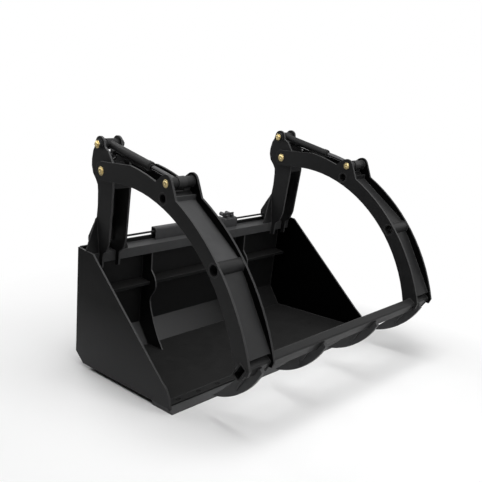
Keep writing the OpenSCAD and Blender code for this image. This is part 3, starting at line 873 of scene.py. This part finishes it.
class GRAPPLE_OT_finishes(bpy.types.Operator):
    """Makes every finish and gives each solid its own"""
    bl_idname = "grapple.finishes"
    bl_label = "Finishes"

    def execute(self, context):
        look = context.scene.grapple
        paint = tuple(look.paint)
        for name, (share, own) in COATS.items():
            make_powder_coat(
                name, scaled(paint, share), **{"rough": look.paint_rough, **own})
        make_plating("yellow_zinc", tuple(look.plating), 0.30, (0.64, 0.51, 0.26))
        make_plating("bright_zinc", (0.055, 0.055, 0.057), 0.48, (0.075, 0.075, 0.077))
        make_chrome("rod_chrome", paint)
        make_rubber("hose_cover")
        worn_by = {p["node"]: p["material_slot"] for p in frame["record"]["subparts"]}
        for node, piece in frame["nodes"].items():
            coats = [coat for pattern, coat in NODE_COATS if re.fullmatch(pattern, node)]
            material = FINISHES[coats[0] if coats else SLOT_FINISHES[worn_by[node]]]
            if piece.material_slots:
                for slot in piece.material_slots:
                    slot.material = material
            else:
                piece.data.materials.append(material)
        return {"FINISHED"}


class GRAPPLE_OT_plow_bolts(bpy.types.Operator):
    """Sets a row of plow bolts into the cutting edge"""
    bl_idname = "grapple.plow_bolts"
    bl_label = "Plow bolts"

    def execute(self, context):
        fit = context.scene.grapple_fittings
        bm = bmesh.new()
        add_turned(bm, BOLT_PROFILE, UP * BOLT_FOOT, UP, 32)
        add_turned(bm, NUT_PROFILE, UP * NUT_FOOT, UP, 6)
        bolt = bpy.data.objects.new("bolt_shape", mesh_from(bm, "bolt_shape", 25))
        g, given = geometry_graph("Bolt row", {
            "Bolt": "NodeSocketObject", "Pitch": "NodeSocketFloat",
            "Count": "NodeSocketInt", "Material": "NodeSocketMaterial"})
        first = (given["Count"] - 1.0) * given["Pitch"] * -0.5
        line = g.node("GeometryNodeMeshLine", {"mode": "OFFSET"}, {
            "Count": given["Count"],
            "Start Location": g.node("ShaderNodeCombineXYZ", {}, {0: first, 1: BOLT_ROW_Y}),
            "Offset": g.node("ShaderNodeCombineXYZ", {}, {0: given["Pitch"]}),
        })
        g.end("NodeGroupOutput", g.copies(line, given["Bolt"], given["Material"]))
        row = run_tree(linked("bolt_row", bpy.data.meshes.new("bolt_row")), g.tree, {
            "Bolt": bolt, "Pitch": fit.bolt_pitch, "Count": fit.bolt_count,
            "Material": FINISHES["bolt_black"],
        }, "plow_bolts", "bucket", 30)
        bpy.data.objects.remove(bolt)
        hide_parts("edge_bolts")
        return {"FINISHED"}


class GRAPPLE_OT_pins(bpy.types.Operator):
    """Turns the pivot, cylinder and rod pins with seat washers and six-sided heads"""
    bl_idname = "grapple.pins"
    bl_label = "Pins"

    def add_pin(self, bm, middle, shank, washer, start, end):
        seat = start + (end - start) * SEAT_SHARE
        half = [
            (start, shank), (start, washer - WASHER_CHAMFER),
            (start + WASHER_CHAMFER, washer), (seat - SEAT_CHAMFER, washer),
            (seat, washer - SEAT_CHAMFER), (seat, 0.0),
        ]
        whole = [(-along, radius) for along, radius in reversed(half)] + half
        add_turned(bm, whole, middle, ACROSS, 64)
        head = washer * HEAD_SHARE
        rim, hollow = (head * share for share in DISH_SHARES)
        profile = [
            (seat - HEAD_SINK, 0.0), (seat - HEAD_SINK, head), (end - HEAD_CHAMFER, head),
            (end, head * END_SHARE), (end, rim), (end - HEAD_DISH, hollow),
            (end - HEAD_DISH, 0.0),
        ]
        for way in (-ACROSS, ACROSS):
            add_turned(bm, profile, middle, way, 6)

    def execute(self, context):
        for node, body, line, shank, washer, start, end in PINS:
            bm = bmesh.new()
            for x in (-ARM_X, ARM_X):
                self.add_pin(bm, line + ACROSS * x, shank, washer, start, end)
            name = node + "_turned"
            mesh = mesh_from(bm, name, 28)
            mesh.materials.append(FINISHES["yellow_zinc"])
            mesh.materials.append(FINISHES["bolt_black"])
            for face in mesh.polygons:
                offset = face.center.x - math.copysign(ARM_X, face.center.x)
                face.material_index = int(offset > start - 0.001)
            piece = linked(name, mesh, body=body)
            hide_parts(node)
        return {"FINISHED"}


class GRAPPLE_OT_welds(bpy.types.Operator):
    """Lays weld beads along the main joints"""
    bl_idname = "grapple.welds"
    bl_label = "Welds"

    def execute(self, context):
        fit = context.scene.grapple_fittings
        bead = bmesh.new()
        bmesh.ops.create_icosphere(bead, subdivisions=1, radius=0.5)
        for vert in bead.verts:
            vert.co.x *= BEAD_FLATNESS
        shape = bpy.data.objects.new("bead_shape", mesh_from(bead, "bead_shape", 180))
        g, given = geometry_graph("Weld bead", {
            "Bead": "NodeSocketObject", "Width": "NodeSocketFloat",
            "Material": "NodeSocketMaterial"})
        curve = g.node("GeometryNodeMeshToCurve", {}, {"Mesh": given["Geometry"]})
        points = g.node("GeometryNodeCurveToPoints", {"mode": "LENGTH"}, {
            "Curve": curve, "Length": given["Width"] * BEAD_SPACING})
        g.end("NodeGroupOutput", g.copies(points, given["Bead"], given["Material"], {
            "Rotation": points.beside("Rotation"), "Scale": given["Width"]}))

        clamp, bucket = [], []
        for side in (-1, 1):
            for face in (-1, 1):
                clamp += arm_seams(side, face)
                bucket += tower_seams(side, face)
        bucket += shell_seams()
        for index in range(TINE_COUNT):
            middle = (index - (TINE_COUNT - 1) / 2) * TINE_PITCH
            for x in (middle - TINE_HALF, middle + TINE_HALF):
                clamp += tine_seams(x)
        for name, body, paths in (
                ("clamp_welds", "clamp", clamp), ("bucket_welds", "bucket", bucket)):
            piece = run_tree(polyline_object(name + "_path", paths), g.tree, {
                "Bead": shape, "Width": fit.bead_w, "Material": FINISHES["powder_coat"],
            }, name, body, 180)
        bpy.data.objects.remove(shape)
        return {"FINISHED"}


class GRAPPLE_OT_cylinder_fittings(bpy.types.Operator):
    """Adds gland rings, port nuts, elbows and hoses to both cylinders"""
    bl_idname = "grapple.cylinder_fittings"
    bl_label = "Cylinder fittings"

    def make_gland_ring(self, word, x, body):
        bm = bmesh.new()
        add_turned(bm, GLAND_PROFILE, TOP_PIN + Vector((x, 0, 0)), CYL_DIR)
        ring = linked(f"gland_ring_{word}", mesh_from(bm, "gland_ring", 30),
                      "powder_coat", body)

    def make_port_nuts(self, word, x, body):
        bm = bmesh.new()
        for off in PORT_OFFSETS:
            port = on_cylinder(x + off, PORT_ALONG, PORT_NUT_BELOW)
            add_turned(bm, PORT_NUT_PROFILE, port, CYL_DOWN, 6)
        nuts = linked(f"port_nuts_{word}", mesh_from(bm, "port_nuts", 20),
                      "bright_zinc", body)

    def make_hose(self, name, x, path, body, diameter):
        bm = bmesh.new()
        add_tube(bm, path, diameter / 2)
        hose = linked(name, mesh_from(bm, "hose", 60), "hose_cover")
        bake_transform(hose)
        path_length(path)

    def execute(self, context):
        fit = context.scene.grapple_fittings
        for side, word in ((-1, "left"), (1, "right")):
            body = f"cylinder_{word}_body"
            x = side * ARM_X
            self.make_gland_ring(word, x, body)
            self.make_port_nuts(word, x, body)
            port_elbows, bulkhead_elbows = bmesh.new(), bmesh.new()
            for index, off in enumerate(PORT_OFFSETS):
                path = hose_path(side, off)
                port = on_cylinder(x + off, PORT_ALONG, PORT_ELBOW_BELOW)
                add_tube(port_elbows, port_elbow_path(port, path[-1]), ELBOW_R, ELBOW_SIDES)
                add_tube(
                    bulkhead_elbows, bulkhead_elbow_path(side, path[0]), ELBOW_R, ELBOW_SIDES)
                self.make_hose(f"hose_{word}_{index + 1}", x, path, body, fit.hose_d)
            for name, made, rider in (
                    ("port_elbows", port_elbows, body),
                    ("bulkhead_elbows", bulkhead_elbows, "bucket")):
                piece = linked(f"{name}_{word}", mesh_from(made, name, 40),
                               "bright_zinc", rider)
        return {"FINISHED"}


class GRAPPLE_OT_studio(bpy.types.Operator):
    """Sets the pale floor, the lamps and the camera"""
    bl_idname = "grapple.studio"
    bl_label = "Studio"

    def make_floor(self, colour):
        """A floor that takes shadows near the object and is white to the camera far off."""
        h = FLOOR_HALF
        mesh = bpy.data.meshes.new("floor")
        mesh.from_pydata(
            [(-h, -h, 0), (h, -h, 0), (h, h, 0), (-h, h, 0)], [], [(0, 1, 2, 3)])
        floor = linked("floor", mesh)
        material = bpy.data.materials.new("floor")
        g = shader_graph(material)
        at = g.place()
        far = g.distance(at, FADE_MIDDLE)
        fade = ((far - FADE_START) * 0.5 + g.part(at, 0).above(FADE_RIGHT, 1.6)).clamp()
        matt = g.node("ShaderNodeBsdfDiffuse", {}, {"Color": colour})
        white = g.node("ShaderNodeEmission", {}, {"Color": (1, 1, 1), "Strength": 1.0})
        seen = g.light_path("Is Camera Ray")
        g.end("ShaderNodeOutputMaterial",
              g.node("ShaderNodeMixShader", {}, {0: fade * seen, 1: matt, 2: white}))
        mesh.materials.append(material)

    def make_world(self, scene):
        """White to the camera, in reflections and through glass, and nearly dark as light."""
        scene.world = bpy.data.worlds.new("studio")
        g = shader_graph(scene.world)
        shown = (g.light_path("Is Camera Ray") + g.light_path("Is Glossy Ray")
                 + g.light_path("Is Transmission Ray")).clamp()
        back, soft = (
            g.node("ShaderNodeBackground", {}, {"Color": (1, 1, 1), "Strength": strength})
            for strength in (1.0, SOFT_WORLD))
        g.end("ShaderNodeOutputWorld",
              g.node("ShaderNodeMixShader", {}, {0: shown, 1: soft, 2: back}))

    def make_lamp(self, name, height, turn, power):
        data = bpy.data.lights.new(name, "AREA")
        data.energy = power
        data.shape = "DISK"
        data.size = LAMP_SIZE
        lift, swing = math.radians(height), math.radians(turn)
        place = LAMP_AIM + LAMP_DISTANCE * Vector((
            math.cos(lift) * math.cos(swing), math.cos(lift) * math.sin(swing),
            math.sin(lift)))
        lamp = linked(name, data)
        lamp.location = place
        lamp.rotation_euler = (LAMP_AIM - place).to_track_quat("-Z", "Y").to_euler()

    def make_camera(self, scene):
        data = bpy.data.cameras.new("camera")
        data.sensor_width = CAMERA_SENSOR
        data.lens = CAMERA_LENS
        data.shift_x, data.shift_y = CAMERA_SHIFT
        camera = linked("camera", data)
        azimuth, elevation, roll = (
            math.radians(angle) for angle in (CAMERA_AZIMUTH, CAMERA_ELEVATION, CAMERA_ROLL))
        backward = Vector((
            math.sin(azimuth) * math.cos(elevation),
            -math.cos(azimuth) * math.cos(elevation), math.sin(elevation)))
        level = Vector((math.cos(azimuth), math.sin(azimuth), 0.0))
        over = backward.cross(level)
        right = level * math.cos(roll) + over * math.sin(roll)
        up = over * math.cos(roll) - level * math.sin(roll)
        turn = Matrix((right, up, backward)).transposed()
        camera.matrix_world = Matrix.Translation(CAMERA_PLACE) @ turn.to_4x4()
        scene.camera = camera

    def execute(self, context):
        scene = context.scene
        self.make_floor(tuple(scene.grapple.floor))
        self.make_world(scene)
        for lamp in STUDIO_LAMPS:
            self.make_lamp(*lamp)
        self.make_camera(scene)
        scene.view_settings.view_transform = "Standard"
        return {"FINISHED"}


class GRAPPLE_PT_panel(bpy.types.Panel):
    """Lists the grapple's operators and settings"""
    bl_idname = "GRAPPLE_PT_panel"
    bl_label = "Grapple"
    bl_space_type = "VIEW_3D"
    bl_region_type = "UI"
    bl_category = "Grapple"

    def draw(self, context):
        layout = self.layout
        for group in (context.scene.grapple, context.scene.grapple_fittings):
            box = layout.box()
            for name in group.__annotations__:
                box.prop(group, name)
        for made in OPERATORS:
            layout.operator(made.bl_idname)


OPERATORS = (
    GRAPPLE_OT_finishes, GRAPPLE_OT_plow_bolts, GRAPPLE_OT_pins, GRAPPLE_OT_welds,
    GRAPPLE_OT_cylinder_fittings, GRAPPLE_OT_studio,
)
CLASSES = (GrappleSettings, FittingSettings, *OPERATORS, GRAPPLE_PT_panel)


def register():
    for made in CLASSES:
        bpy.utils.register_class(made)
    bpy.types.Scene.grapple = bpy.props.PointerProperty(type=GrappleSettings)
    bpy.types.Scene.grapple_fittings = bpy.props.PointerProperty(type=FittingSettings)


def unregister():
    del bpy.types.Scene.grapple_fittings
    del bpy.types.Scene.grapple
    for made in reversed(CLASSES):
        bpy.utils.unregister_class(made)


def main():
    register()
    bpy.ops.grapple.finishes()
    bpy.ops.grapple.plow_bolts()
    bpy.ops.grapple.pins()
    bpy.ops.grapple.welds()
    bpy.ops.grapple.cylinder_fittings()
    bpy.ops.grapple.studio()


if __name__ == "__main__":
    main()
